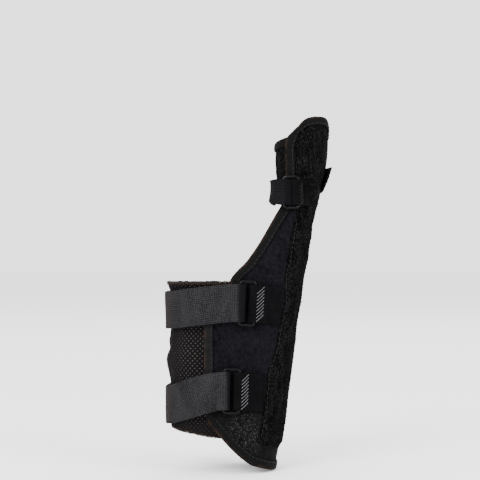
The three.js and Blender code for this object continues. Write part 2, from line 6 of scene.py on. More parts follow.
import bpy
import numpy as np
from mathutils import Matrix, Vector


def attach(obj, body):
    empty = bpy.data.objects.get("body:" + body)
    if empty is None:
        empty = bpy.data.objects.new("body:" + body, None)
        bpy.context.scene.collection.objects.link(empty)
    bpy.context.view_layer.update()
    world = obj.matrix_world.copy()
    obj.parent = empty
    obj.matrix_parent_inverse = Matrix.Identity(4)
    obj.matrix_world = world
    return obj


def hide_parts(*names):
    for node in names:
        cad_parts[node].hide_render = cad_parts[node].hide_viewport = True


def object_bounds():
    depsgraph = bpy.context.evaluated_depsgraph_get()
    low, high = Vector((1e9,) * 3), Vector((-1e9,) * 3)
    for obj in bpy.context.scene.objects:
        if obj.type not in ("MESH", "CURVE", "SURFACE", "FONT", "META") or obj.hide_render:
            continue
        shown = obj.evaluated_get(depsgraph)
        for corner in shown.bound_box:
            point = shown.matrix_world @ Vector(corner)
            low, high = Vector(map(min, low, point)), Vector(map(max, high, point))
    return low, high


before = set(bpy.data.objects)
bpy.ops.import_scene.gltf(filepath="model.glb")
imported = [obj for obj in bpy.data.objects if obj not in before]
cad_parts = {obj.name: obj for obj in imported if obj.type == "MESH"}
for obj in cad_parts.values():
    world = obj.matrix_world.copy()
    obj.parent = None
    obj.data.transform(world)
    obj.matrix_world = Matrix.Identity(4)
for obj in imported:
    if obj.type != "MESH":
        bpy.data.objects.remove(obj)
bpy.ops.object.select_all(action="DESELECT")
cad_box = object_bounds()
metre = 0.001


# Camera
# It faces the back of the hand squarely, from about a metre away, so that 480 pixels take in
# 326 mm at the splint.
camera_distance = 0.95
view_width = 0.3264
view_middle = (0.0081, 0.0748)

bpy.ops.object.camera_add(
    location=(view_middle[0], -camera_distance, view_middle[1]),
    rotation=(math.pi / 2, 0, 0),
)
camera = bpy.context.object
camera.data.sensor_width = 36
camera.data.lens = camera.data.sensor_width * camera_distance / view_width
bpy.context.scene.camera = camera


# Studio
# A pale floor under the splint, a pale surround, and three large soft lamps: the strongest in
# front on the left, one in front on the right, and one from behind and above.
floor_radius = 6
floor_colour = (0.92, 0.92, 0.92, 1)
surround_strength = 2.4
lamp_aim = Vector((0.01, 0, 0.04))
lamps = [
    {"place": (-0.9, -1.3, 1.0), "size": 0.9, "power": 44},
    {"place": (1.2, -0.9, 0.7), "size": 0.7, "power": 20},
    {"place": (0.2, 1.4, 1.3), "size": 1.2, "power": 14},
]

bpy.ops.mesh.primitive_circle_add(
    vertices=96, radius=floor_radius, fill_type="NGON", location=(0, 0, cad_box[0].z)
)
floor = bpy.context.object
floor.name = "floor"
pale = bpy.data.materials.new("pale_floor")
pale.use_nodes = True
floor_shader = pale.node_tree.nodes["Principled BSDF"]
floor_shader.inputs["Base Color"].default_value = floor_colour
floor_shader.inputs["Roughness"].default_value = 0.9
floor_shader.inputs["Specular IOR Level"].default_value = 0
floor.data.materials.append(pale)

surround = bpy.data.worlds.new("pale_surround")
surround.use_nodes = True
background = surround.node_tree.nodes["Background"]
background.inputs["Color"].default_value = (1, 1, 1, 1)
background.inputs["Strength"].default_value = surround_strength
bpy.context.scene.world = surround

for lamp in lamps:
    bpy.ops.object.light_add(type="AREA", location=lamp["place"])
    light = bpy.context.object
    light.data.size = lamp["size"]
    light.data.energy = lamp["power"]
    light.rotation_euler = (lamp_aim - light.location).to_track_quat("-Z", "Y").to_euler()


# Shell panel
# The padded laminate that wraps the thumb side, from the forearm to the thumb's front flap. Its
# face is a smooth navy-black knit beside the stay and brushed pile over the thumb.
splint_length = 236
wrist_height = 79
wrist_size = (80, 43)
thumb_size = (33, 31)
thumb_offset = 48
thumb_drop = 3.5
squareness = 0.05
panel_wall = 3
tape_width = 5
corner_rise = 35
bottom_curve = 2.2
pocket_top = 95
panel_cloth_wall = 2.75
limb_radius = 30
edge_pinch = 0.5
crease_depth, crease_size = 0.22, 31
crease_start, crease_full = 4, 14
pile_bottom, pile_front, pile_slope = 60, 108, 1.2
knit_rib, knit_course = 0.9, 0.7
black_below, navy_above = -34, -16
glint_middle, glint_reach = (10.5, -55), (12, 20)
# Shares of a ramp and their colours.
navy_knit = (0.32, (0.0006, 0.0006, 0.0011)), (0.68, (0.0054, 0.0050, 0.0070))
black_knit = (0.32, (0.0005, 0.0005, 0.0005)), (0.68, (0.0052, 0.0052, 0.0052))
black_pile = (
    (0, (0.0004, 0.0004, 0.0005)),
    (0.45, (0.0018, 0.0018, 0.0019)),
    (1, (0.0080, 0.0080, 0.0081)),
)
glint_colour = (0.034, 0.034, 0.033)

# Level, lean towards the thumb, share of thumb in the section, its width and its depth.
sections = [
    (0, -0.096, 0, 0.838, 1.2),
    (0.148, -0.057, 0, 0.936, 1.17),
    (0.253, -0.027, 0, 0.973, 1.07),
    (0.335, 0, 0, 1.005, 1),
    (0.42, 0.024, 0, 1.034, 0.98),
    (0.527, 0.065, 0, 1.083, 0.95),
    (0.589, 0.344, 0.315, 1, 0.97),
    (0.653, 0.608, 0.753, 1, 1),
    (0.708, 0.8, 1, 0.935, 0.99),
    (0.746, 0.908, 1, 0.82, 0.95),
    (0.788, 0.968, 1, 0.81, 0.93),
    (0.843, 0.981, 1, 0.958, 0.97),
    (0.907, 0.998, 1, 1.03, 1),
    (0.97, 1.014, 1, 0.985, 0.97),
    (1, 1.023, 1, 0.92, 0.9),
]
# Level and the places of the edges on the back and on the palm, as shares of the half width.
side_edges = [
    (0, -0.28, -0.28),
    (0.148, -0.28, -0.28),
    (0.284, -0.35, -0.33),
    (0.418, -0.381, -0.36),
    (0.462, -0.298, -0.28),
    (0.496, -0.176, -0.15),
    (0.525, -0.032, -0.02),
    (0.571, -0.07, 0.03),
    (0.617, -0.135, 0),
    (0.663, -0.26, -0.08),
    (0.709, -0.42, -0.16),
    (0.746, -0.46, -0.24),
    (0.775, -0.46, -0.28),
    (0.809, -0.43, -0.3),
    (0.864, -0.44, -0.3),
    (0.919, -0.48, -0.3),
    (0.96, -0.36, -0.24),
    (1, -0.3, -0.2),
]
# Share of the way round from the back edge to the palm edge, and the level of the thumb arch.
arch = [
    (0, 0.945),
    (0.03, 0.968),
    (0.07, 0.985),
    (0.13, 0.995),
    (0.25, 1),
    (0.33, 0.999),
    (0.4, 0.993),
    (0.46, 0.984),
    (0.52, 0.967),
    (0.62, 0.952),
    (0.8, 0.94),
    (1, 0.924),
]
# Level and how far the sides of the pocket under the stay cover lie from the middle.
pocket_sides = [
    (0.03, 0.58),
    (0.2, 0.66),
    (0.27, 0.66),
    (0.35, 0.75),
    (0.42, 0.78),
    (0.47, 0.8),
    (0.589, 0.68),
    (0.7, 0.42),
    (0.72, 0.52),
    (0.737, 0.78),
]


def table_curve(rows, column):
    """A smooth curve through one column of a table that never overshoots its rows."""
    x = np.array([row[0] for row in rows], float)
    y = np.array([row[column] for row in rows], float)
    slope = np.diff(y) / np.diff(x)
    tangent = np.concatenate([slope[:1], np.zeros(len(x) - 2), slope[-1:]])
    before, after = slope[:-1], slope[1:]
    same = before * after > 0
    tangent[1:-1][same] = (2 * before * after)[same] / (before + after)[same]

    def at(position):
        t = np.clip(position, x[0], x[-1])
        i = np.clip(np.searchsorted(x, t, side="right") - 1, 0, len(x) - 2)
        span = x[i + 1] - x[i]
        u = (t - x[i]) / span
        start = u * (1 - u) ** 2 * span * tangent[i]
        end = u * u * (u - 1) * span * tangent[i + 1]
        return y[i] + (y[i + 1] - y[i]) * u * u * (3 - 2 * u) + start + end

    return at


lean_at, thumb_at, wide_at, deep_at = (table_curve(sections, k) for k in (1, 2, 3, 4))
back_at, palm_at = table_curve(side_edges, 1), table_curve(side_edges, 2)
arch_at, pocket_at = table_curve(arch, 1), table_curve(pocket_sides, 1)
cover_sides = [row for row in pocket_sides if row[0] <= 0.7] + [(0.76, 0.1)]
seam_at = table_curve(cover_sides, 1)


def level_of(z):
    return (z + wrist_height) / splint_length


def height_of(level):
    return level * splint_length - wrist_height


def smooth(value, start, end):
    t = np.clip((value - start) / (end - start), 0, 1)
    return t * t * (3 - 2 * t)


def section(z):
    level = level_of(z)
    thumb = thumb_at(level)
    wide, deep = ((1 - thumb) * a + thumb * b for a, b in zip(wrist_size, thumb_size))
    return (
        thumb_offset * lean_at(level),
        thumb_drop * thumb,
        wide_at(level) * wide / 2,
        deep_at(level) * deep / 2,
    )


def fullness(angle):
    return 1 + squareness * np.sin(2 * angle) ** 2


def limb(angle, z):
    """Inner face of the panel. Angles run from the thumb side over the back of the hand."""
    x, y, wide, deep = section(z)
    k = fullness(angle)
    spot = (x + wide * k * np.cos(angle), y - deep * k * np.sin(angle), z)
    return np.stack(np.broadcast_arrays(*spot), -1)


def unit(vectors):
    return vectors / np.linalg.norm(vectors, axis=-1, keepdims=True)


def outward(angle, z):
    turn, rise = 1e-3, 0.1
    round_limb = limb(angle + turn, z) - limb(angle - turn, z)
    along_limb = limb(angle, z + rise) - limb(angle, z - rise)
    return -unit(np.cross(round_limb, along_limb))


def skin(angle, z, height):
    """A point at a height over the inner face of the panel."""
    return limb(angle, z) + outward(angle, z) * np.asarray(height, float)[..., None]


def pace(angle, z):
    """Millimetres travelled round the limb for each radian."""
    turn = 5e-3
    return np.linalg.norm(limb(angle + turn, z) - limb(angle - turn, z), axis=-1) / (2 * turn)


def angle_across(share):
    """Angle on the back where the section reaches a share of its half width."""
    angle = np.arccos(share)
    for _ in range(8):
        angle = np.arccos(share / fullness(angle))
    return angle


def back_edge(z):
    return angle_across(back_at(level_of(z)))


def palm_edge(z):
    return -angle_across(palm_at(level_of(z)))


def grid_piece(name, columns, rows, place):
    """A sheet of cells, u round the limb and v up it, moved by place to points in millimetres.
    Its UV map is in metres of cloth."""
    bpy.ops.mesh.primitive_grid_add(x_subdivisions=columns, y_subdivisions=rows, size=1)
    piece = bpy.context.object
    piece.name = piece.data.name = name
    mesh = piece.data
    flat = np.zeros(len(mesh.vertices) * 3)
    mesh.vertices.foreach_get("co", flat)
    u, v = flat.reshape(-1, 3)[:, 0] + 0.5, flat.reshape(-1, 3)[:, 1] + 0.5
    points, cloth = place(u, v)
    mesh.vertices.foreach_set("co", (points * metre).ravel())
    corners = np.zeros(len(mesh.loops), int)
    mesh.loops.foreach_get("vertex_index", corners)
    mesh.uv_layers[0].data.foreach_set("uv", (cloth * metre)[corners].ravel())
    mesh.update()
    return piece


def finish_mesh(piece, wall, offset=-1, rounding=0):
    """Gives a sheet its thickness and round edges, and applies both."""
    bpy.ops.object.select_all(action="DESELECT")
    piece.select_set(True)
    bpy.context.view_layer.objects.active = piece
    solid = piece.modifiers.new("thickness", "SOLIDIFY")
    solid.thickness = wall * metre
    solid.offset = offset
    bpy.ops.object.modifier_apply(modifier=solid.name)
    if rounding:
        bevel = piece.modifiers.new("rounding", "BEVEL")
        bevel.width = rounding * metre
        bevel.segments = 2
        bevel.angle_limit = math.radians(60)
        bpy.ops.object.modifier_apply(modifier=bevel.name)
    bpy.ops.object.shade_smooth_by_angle(angle=math.radians(50))


def wrinkles(x, y, size, seed):
    """Smooth irregular waves from -1 to 1, for creases and puckers in cloth."""
    total = 0
    for k in range(4):
        turn = seed * 1.7 + k * 2.4
        wave = (x * math.cos(turn) + y * math.sin(turn)) * (0.7 + 0.31 * k)
        total = total + np.sin(2 * math.pi * wave / size + seed * 3.1 + k * k)
    return total / 4


panel_cells = (168, 224)
hem_share, cover_share = 1 / 24, 7 / 24
hem_rise, cover_rise = 1 / 28, 20 / 28
panel_stops = np.array([0, hem_share, cover_share, 1 - cover_share, 1 - hem_share, 1])
row_stops = np.array([0, hem_rise, cover_rise, 1 - hem_rise, 1])


def panel_bottom(around):
    return height_of(0) + corner_rise * np.abs(1 - 2 * around) ** bottom_curve


def lower_tape_height(around):
    low, half = panel_bottom(around), hem_share / 2
    run = pace(0, low) * (back_edge(low) - palm_edge(low)) * hem_share
    rise = panel_bottom(around + half) - panel_bottom(around - half)
    return tape_width * np.hypot(1, rise / run)


def along_stops(stops, values, at):
    """Values at places between stops, with its own row of values for each place."""
    i = np.clip(np.searchsorted(stops, at, side="right") - 1, 0, len(stops) - 2)
    values = np.stack(np.broadcast_arrays(*values), -1)
    low = np.take_along_axis(values, i[..., None], -1)[..., 0]
    high = np.take_along_axis(values, i[..., None] + 1, -1)[..., 0]
    share = (at - stops[i]) / (stops[i + 1] - stops[i])
    return low + (high - low) * share


def tape_angle(edge, z):
    lean = (skin(edge(z + 1), z + 1, 0) - skin(edge(z - 1), z - 1, 0))[..., 0] / 2
    return tape_width * np.hypot(1, lean) / pace(edge(z), z)


def panel_place(u, v):
    """Angle and height of the panel at shares of the way round it and up it."""
    low, high = panel_bottom(u), height_of(arch_at(u))
    heights = (low, low + lower_tape_height(u), pocket_top, high - tape_width, high)
    z = along_stops(row_stops, heights, v)
    start, end = back_edge(z), palm_edge(z)
    reach = angle_across(pocket_at(level_of(z)))
    angles = (
        start,
        start - tape_angle(back_edge, z),
        reach,
        -reach,
        end + tape_angle(palm_edge, z),
        end,
    )
    return along_stops(panel_stops, angles, u), z


def shape_panel(u, v):
    angle, z = panel_place(u, v)
    side = np.minimum(back_edge(z) - angle, angle - palm_edge(z)) * pace(angle, z)
    low, high = panel_bottom(u), height_of(arch_at(u))
    inside = np.minimum(side, np.minimum(z - low, high - z))
    pinch = edge_pinch * (1 - smooth(inside, tape_width - 1, tape_width + 4))
    creases = crease_depth * wrinkles(angle * limb_radius, z, crease_size, 2)
    height = panel_wall - pinch + creases * smooth(inside, crease_start, crease_full)
    return skin(angle, z, height), np.stack([angle * limb_radius, z], -1)


class Value:
    """A number in a material's nodes. Sums and products of it add the Math nodes."""

    def __init__(self, finish, socket):
        self.finish, self.socket = finish, socket

    def math(self, operation, *others):
        inputs = dict(enumerate((self, *others)))
        return self.finish.node("ShaderNodeMath", {"operation": operation}, inputs)

    def __add__(self, other):
        return self.math("ADD", other)

    def __sub__(self, other):
        return self.math("SUBTRACT", other)

    def __mul__(self, other):
        return self.math("MULTIPLY", other)

    def __rsub__(self, other):
        return self * -1 + other

    __radd__, __rmul__ = __add__, __mul__

    def ripple(self, pitch):
        """Rises from 0 to 1 and falls again once in every pitch."""
        return (self * (2 * math.pi / pitch)).math("SINE") * 0.5 + 0.5

    def size(self):
        return self.math("ABSOLUTE")

    def fraction(self):
        return self.math("FRACT")

    def whole(self):
        return self.math("FLOOR")

    def power(self, other):
        return self.math("POWER", other)

    def step(self, start, end):
        """0 up to start, 1 from end, and smooth between them."""
        settings = {"interpolation_type": "SMOOTHSTEP"}
        inputs = {"Value": self, "From Min": start, "From Max": end}
        return self.finish.node("ShaderNodeMapRange", settings, inputs)


class Finish:
    """A material whose nodes are made one by one."""

    def __init__(self, name):
        self.material = bpy.data.materials.new(name)
        self.material.use_nodes = True
        self.material.node_tree.nodes.clear()

    def node(self, kind, settings, inputs, output=0):
        made = self.material.node_tree.nodes.new(kind)
        for key, value in settings.items():
            if key == "stops":
                ramp = made.color_ramp.elements
                while len(ramp) < len(value):
                    ramp.new(0.5)
                for stop, (place, colour) in zip(ramp, value):
                    stop.position, stop.color = place, (*colour, 1)
            else:
                setattr(made, key, value)
        for key, value in inputs.items():
            if isinstance(value, Value):
                self.material.node_tree.links.new(value.socket, made.inputs[key])
            elif isinstance(value, tuple) and len(value) == 3 and made.inputs[key].type == "RGBA":
                made.inputs[key].default_value = (*value, 1)
            else:
                made.inputs[key].default_value = value
        return Value(self, made.outputs[output]) if made.outputs else None

    def cloth(self):
        """Millimetres across and along the cloth, from the piece's UV map."""
        uv = self.node("ShaderNodeUVMap", {"uv_map": "UVMap"}, {})
        scaled = self.node("ShaderNodeVectorMath", {"operation": "SCALE"}, {0: uv, "Scale": 1000.0})
        return (
            self.node("ShaderNodeSeparateXYZ", {}, {0: scaled}, 0),
            self.node("ShaderNodeSeparateXYZ", {}, {0: scaled}, 1),
        )

    def place(self, axis):
        """Millimetres along one axis of the piece."""
        spot = self.node("ShaderNodeTexCoord", {}, {}, 3)
        return self.node("ShaderNodeSeparateXYZ", {}, {0: spot}, axis) * 1000

    def noise(self, size, detail=3, stretch=(1, 1, 1)):
        """Irregular values about 0.5, with blotches of a size in millimetres."""
        place = self.node("ShaderNodeTexCoord", {}, {}, 3)
        placed = self.node("ShaderNodeMapping", {}, {"Vector": place, "Scale": stretch})
        inputs = {"Vector": placed, "Scale": 1000.0 / size, "Detail": float(detail)}
        return self.node("ShaderNodeTexNoise", {}, inputs)

    def ramp(self, share, *stops):
        return self.node("ShaderNodeValToRGB", {"stops": stops}, {0: share})

    def mix(self, share, first, second):
        inputs = {0: share, 6: first, 7: second}
        return self.node("ShaderNodeMix", {"data_type": "RGBA"}, inputs, 2)

    def bump(self, height, depth, normal=None):
        """Relief of a depth in millimetres where height goes from 0 to 1."""
        inputs = {"Height": height, "Distance": depth * metre, "Strength": 1.0}
        if normal:
            inputs["Normal"] = normal
        return self.node("ShaderNodeBump", {}, inputs)

    def surface(self, **sockets):
        inputs = {key.replace("_", " "): value for key, value in sockets.items()}
        shader = self.node("ShaderNodeBsdfPrincipled", {}, inputs)
        self.node("ShaderNodeOutputMaterial", {}, {"Surface": shader})
        return self.material


def smooth_knit():
    """Navy-black knit, mottled where it has rubbed. Below the lower ring its loops glint."""
    finish = Finish("smooth_knit")
    across, along = finish.cloth()
    weave = across.ripple(knit_rib) * 0.5 + along.ripple(knit_course) * 0.5
    mottle = finish.noise(2.2, 4)
    x, y, z = (finish.place(axis) for axis in (0, 1, 2))
    offsets = zip((x, z), glint_middle, glint_reach)
    x_away, z_away = (((at - middle) * (1 / reach)).power(2) for at, middle, reach in offsets)
    away = x_away + z_away
    patch = (1 - away.step(0.5, 1.2)) * (1 - y.step(-12, -4))
    glints = finish.noise(0.8, 2).step(0.57, 0.68) * patch
    shade = finish.noise(14, 4) * 0.3 + mottle * 0.55 + weave * 0.15
    navy, black = finish.ramp(shade, *navy_knit), finish.ramp(shade, *black_knit)
    colour = finish.mix(z.step(black_below, navy_above), black, navy)
    colour = finish.mix(glints, colour, glint_colour)
    return finish.surface(
        Base_Color=colour,
        Roughness=0.9 - weave * 0.15,
        Specular_IOR_Level=0.03,
        Normal=finish.bump(weave * 0.5 + mottle * 0.7, 0.22),
    )


def brushed_pile():
    """Black brushed loops, laid along the splint, with lighter tips."""
    finish = Finish("brushed_pile")
    tufts = finish.noise(0.85, 3, (1.3, 1.3, 0.55))
    loops = finish.noise(0.5, 2)
    brushed = finish.noise(6, 4, (1.6, 1.6, 0.5))
    bright = (tufts * 0.6 + loops * 0.3 + brushed * 0.25).step(0.46, 0.72)
    return finish.surface(
        Base_Color=finish.ramp(bright, *black_pile),
        Roughness=1.0 - bright * 0.15,
        Specular_IOR_Level=0.02,
        Normal=finish.bump(tufts * 0.7 + loops * 0.5, 0.6),
    )


knit_finish = smooth_knit()
pile_finish = brushed_pile()
shell_panel = grid_piece("shell_panel_cloth", *panel_cells, shape_panel)
shell_panel.data.materials.append(knit_finish)
shell_panel.data.materials.append(pile_finish)
finish_mesh(shell_panel, panel_cloth_wall)
for face in shell_panel.data.polygons:
    x, y, z = (value / metre for value in face.center)
    seam_x = section(z)[0] + section(z)[2] * seam_at(level_of(z))
    over_thumb = x > seam_x or z > pile_front - (seam_x - x) * pile_slope
    face.material_index = int(z > pile_bottom and over_thumb)
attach(shell_panel, "root")
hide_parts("shell_panel")


# Shell binding
# A stretch tape folded over the whole edge of the panel and sewn through with one row of
# stitches. Wear has turned its fold brownish.
seam_gap = 0.3
tape_wall = 0.6
tape_round, tape_flat = 8, 5
tape_swell, hem_sink = 0.18, 0.3
pucker_depth, pucker_length = 0.08, 6.2
stitch_pitch, stitch_length, stitch_thickness = 3.1, 2.3, 0.34
stitch_lift = 0.33
twill_pitch, tape_rib = 0.95, 0.8
fold_middle, fold_inner, fold_outer = 6.5, 0.4, 2.4
black_tape = (0.2, (0.0020, 0.0020, 0.0020)), (0.8, (0.0090, 0.0088, 0.0086))
shaded_tape, worn_fold = (0.0016, 0.0016, 0.0017), (0.020, 0.011, 0.007)
dark_colour = (0.012, 0.0115, 0.012)


def run_along(points):
    """Distance from the first point to each, along them."""
    steps = np.linalg.norm(np.diff(points, axis=0), axis=1)
    return np.concatenate([[0], np.cumsum(steps)])


def at_run(where, run, values):
    """Values at distances along a run."""
    columns = [np.interp(where, run, column) for column in values.T]
    return np.stack(columns, -1)


def border(place, corners, closed, spacing=1.5):
    """Even steps along the edge of a piece, given by corners of its u and v."""
    corners = np.array(corners, float)
    steps = np.linspace(0, 1, 300, endpoint=False)[:, None]
    path = [start + (stop - start) * steps for start, stop in zip(corners[:-1], corners[1:])]
    path = np.concatenate([*path, corners[-1:]])
    run = run_along(skin(*place(*path.T), 0))
    even = np.linspace(0, run[-1], int(run[-1] / spacing) + 1)
    u, v = at_run(even, run, path).T
    spots = skin(*place(u, v), 0)
    if closed:
        tangent = np.roll(spots[:-1], -1, 0) - np.roll(spots[:-1], 1, 0)
        tangent = np.concatenate([tangent, tangent[:1]])
    else:
        tangent = np.gradient(spots, axis=0)
    return {"u": u, "v": v, "run": even, "tangent": unit(tangent)}


def folded_tape(edge, place, inner, low, high):
    """Rows of points across a tape folded over an edge, from its top hem round to its under hem."""
    angle, z = place(edge["u"], edge["v"])
    hem_angle, hem_z = place(*inner(edge["u"], edge["v"]))
    beyond = np.cross(edge["tangent"], outward(angle, z))
    middle, half = (low + high) / 2, (high - low) / 2
    pucker = pucker_depth * np.sin(edge["run"] * 2 * math.pi / pucker_length)
    shares = np.linspace(0, 1, tape_flat, endpoint=False)

    def flat_row(t, height):
        return skin(hem_angle + (angle - hem_angle) * t, hem_z + (z - hem_z) * t, height)

    rows = []
    for t in shares:
        swell = tape_swell * math.sin(math.pi * t) - hem_sink * (1 - t) ** 4
        rows.append(flat_row(t, high + swell + pucker))
    for turn in np.linspace(0, math.pi, tape_round):
        reach = (seam_gap + tape_wall / 2) * math.sin(turn)
        rows.append(skin(angle, z, middle + half * math.cos(turn)) + beyond * reach)
    rows += [flat_row(t, np.full(angle.shape, low)) for t in shares[::-1]]
    return np.stack(rows, 1)


def strip_piece(name, rows, closed=False):
    """A sheet through rows of points, with its UV map in metres along and across it."""
    count, cells = rows.shape[0] - 1, rows.shape[1] - 1
    run, width = run_along(rows[:, cells // 2]), run_along(rows[count // 2])

    def place(u, v):
        i, j = np.rint(u * count).astype(int), np.rint(v * cells).astype(int)
        return rows[i, j], np.stack([run[i], width[j]], -1)

    piece = grid_piece(name, count, cells, place)
    if closed:
        bpy.ops.object.mode_set(mode="EDIT")
        bpy.ops.mesh.select_all(action="SELECT")
        bpy.ops.mesh.remove_doubles(threshold=1e-6)
        bpy.ops.object.mode_set(mode="OBJECT")
    return piece


def sewn_threads(name, starts, ends, outs, thickness):
    """One short thread, modelled once and laid from each start to its end, outs up."""
    bpy.ops.mesh.primitive_uv_sphere_add(segments=8, ring_count=6, radius=0.5)
    thread = bpy.context.object
    shape = np.array([v.co[:] for v in thread.data.vertices])
    faces = [list(p.vertices) for p in thread.data.polygons]
    shape[:, 2] = np.sign(shape[:, 2]) * 0.5 * np.abs(shape[:, 2] * 2) ** 0.7
    bpy.data.objects.remove(thread)
    along = ends - starts
    across = unit(np.cross(outs, along))
    up = unit(np.cross(along, across))
    middle = (starts + ends) / 2
    copies = (
        middle[:, None]
        + shape[None, :, 2:3] * along[:, None]
        + shape[None, :, 0:1] * thickness * across[:, None]
        + shape[None, :, 1:2] * thickness * up[:, None]
    )
    count = len(shape)
    mesh = bpy.data.meshes.new(name)
    mesh.from_pydata(
        (copies.reshape(-1, 3) * metre).tolist(),
        [],
        [[k * count + i for i in face] for k in range(len(starts)) for face in faces],
    )
    piece = bpy.data.objects.new(name, mesh)
    bpy.context.collection.objects.link(piece)
    mesh.polygons.foreach_set("use_smooth", [True] * len(mesh.polygons))
    return piece


def stitch_row(name, spots, outs, lift):
    """A row of running stitches along spots, lifted by a height over them."""
    run = run_along(spots)
    starts = np.arange(stitch_pitch, run[-1] - stitch_pitch, stitch_pitch)
    up = unit(at_run(starts + stitch_length / 2, run, outs))
    first = at_run(starts, run, spots) + up * lift
    last = at_run(starts + stitch_length, run, spots) + up * lift
    return sewn_threads(name, first, last, up, stitch_thickness)


def woven_tape():
    finish = Finish("woven_tape")
    along, across = finish.cloth()
    weave = (along + across).ripple(twill_pitch) * 0.6 + across.ripple(tape_rib) * 0.4
    shade = finish.noise(7, 4) * 0.7 + weave * 0.3
    colour = finish.ramp(shade, *black_tape)
    fold = 1 - (across - fold_middle).size().step(fold_inner, fold_outer)
    worn = fold * finish.noise(5, 4).step(0.36, 0.62)
    z = finish.place(2)
    # Painted shade: the tape is darkened above the upper strap and below the lower strap.
    painted_shade_share = z.step(36, 52) + 1 - z.step(-44, -32)
    colour = finish.mix(painted_shade_share * 0.75, colour, shaded_tape)
    colour = finish.mix(worn * 0.7, colour, worn_fold)
    return finish.surface(
        Base_Color=colour,
        Roughness=0.9 - weave * 0.15,
        Specular_IOR_Level=0.04,
        Normal=finish.bump(weave, 0.16),
    )


def sewing_thread(name, colour, shine):
    finish = Finish(name)
    twist = finish.noise(0.35, 2, (1, 1, 3))
    return finish.surface(
        Base_Color=finish.mix(twist, tuple(c * 0.6 for c in colour), colour),
        Roughness=shine,
        Specular_IOR_Level=0.15,
        Normal=finish.bump(twist, 0.1),
    )


def panel_hem(u, v):
    return np.clip(u, hem_share, 1 - hem_share), np.clip(v, hem_rise, 1 - hem_rise)


tape_finish = woven_tape()
dark_thread = sewing_thread("dark_thread", dark_colour, 0.55)
tape_low, tape_high = -seam_gap - tape_wall / 2, panel_wall + seam_gap + tape_wall / 2
around_panel = [(0, 0), (1, 0), (1, 1), (0, 1), (0, 0)]
panel_edge = border(panel_place, around_panel, True)
tape_rows = folded_tape(panel_edge, panel_place, panel_hem, tape_low, tape_high)
shell_binding = strip_piece("shell_binding_tape", tape_rows, closed=True)
shell_binding.data.materials.append(tape_finish)
finish_mesh(shell_binding, tape_wall, 0)
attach(shell_binding, "root")
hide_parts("shell_binding")

seam_outs = outward(*panel_place(*panel_hem(panel_edge["u"], panel_edge["v"])))
binding_stitches = stitch_row("binding_stitches", tape_rows[:, 1], seam_outs, stitch_lift)
binding_stitches.data.materials.append(dark_thread)
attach(binding_stitches, "root")


# Stay cover
# A strip of brushed pile over the stay on the thumb side, sewn down along both sides. At its
# top it runs into the pile of the thumb's front flap.
cover_cells = (96, 280)
cover_height = panel_wall + 1.75
cover_wall = 1.2
cover_seam = 0.35
cover_start, cover_top = 1 / 19, 101
cover_hem = 5
thinning = (82, 99)
seam_relief = 0.3
pile_depth = 0.2
quilt_depth, quilt_size = 0.35, 24
seam_inset, seam_run = 0.022, (0.01, 0.93)
seam_rise, seam_lift = 0.45, 0.1


def cover_place(u, v):
    around = cover_share + u * (1 - 2 * cover_share)
    low = panel_bottom(around) + lower_tape_height(around)
    low = low + (pocket_top - low) * cover_start
    z = low + (cover_top - low) * v
    reach = angle_across(seam_at(level_of(z)))
    return reach * (1 - 2 * u), z


def shape_cover(u, v):
    angle, z = cover_place(u, v)
    reach = angle_across(seam_at(level_of(z)))
    side = (reach - np.abs(angle)) * pace(angle, z)
    low = cover_place(u, np.zeros_like(v))[1]
    rise = smooth(side, 0, cover_hem) * smooth(z - low, 0, cover_hem) * (1 - smooth(z, *thinning))
    waves = quilt_depth * wrinkles(angle * limb_radius, z, quilt_size, 5) * smooth(side, 2, 9)
    pile = pile_depth * np.random.default_rng(5).normal(size=angle.shape)
    top = cover_seam + (cover_height - panel_wall - cover_seam) * rise
    relief = (waves + pile) * (seam_relief + (1 - seam_relief) * rise)
    height = panel_wall + top + relief
    return skin(angle, z, height), np.stack([angle * limb_radius, z], -1)


stay_cover = grid_piece("stay_cover", *cover_cells, shape_cover)
stay_cover.data.materials.append(pile_finish)
finish_mesh(stay_cover, cover_wall)
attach(stay_cover, "root")
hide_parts("stay_pocket")

cover_v = np.linspace(*seam_run, 300)
for side, share in (("back", seam_inset), ("palm", 1 - seam_inset)):
    angle, z = cover_place(np.full_like(cover_v, share), cover_v)
    spots = skin(angle, z, panel_wall + cover_seam + seam_rise)
    seam = stitch_row(f"cover_stitches_{side}", spots, outward(angle, z), seam_lift)
    seam.data.materials.append(dark_thread)
    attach(seam, "root")


# Mesh sleeve
# Perforated stretch knit that closes the little-finger side and is sewn under both edges of the
# panel. Its top edge is overlocked and its free part swells between the straps.
under_gap = 1.3
tuck = 9
sleeve_cells = (190, 120)
sleeve_cloth_wall = 0.9
sleeve_radius, crease_radius = 36, 40
sleeve_top, sleeve_bottom = 46, 51
sleeve_sag, sag_shape = 6, 1.6
sleeve_bulge, bulge_shape = 3, 1.5
sleeve_flare = 13
fold_depth, fold_level, fold_width = 1.6, 0.66, 0.08
# Depth, radius, size and seed of each set of creases, and of the waves of both hems.
puckers = [(0.3, limb_radius, 17, 3), (0.2, crease_radius, 9, 8)]
hem_waves = (0.25, crease_radius, 5, 4)
free_sink = 0.35
hole_pitch, hole_row = 3.06, 1.65
hole_edge, rim_edge = (0.1, 0.26), (0.26, 0.56)
strand_pitch = 0.52
brown_black = (0.2, (0.0024, 0.0020, 0.0021)), (0.8, (0.0068, 0.0056, 0.0058))
rim_colour = (0.066, 0.062, 0.060)
brown_colour = (0.024, 0.014, 0.009)
overlock_pitch, overlock_thickness, overlock_depth = 1.35, 0.46, 1.7
overlock_slant, overlock_stand = 0.6, 0.35
strap_width = 25
bend_place, bend_spread = 10, 8
# Level, place of the ring, and tilts before and at the ring, in degrees.
upper_run = {"level": 0.4737, "place": 12.2, "tilts": (8.5, -4)}
lower_run = {"level": 0.2271, "place": 2.3, "tilts": (21, -4.5)}


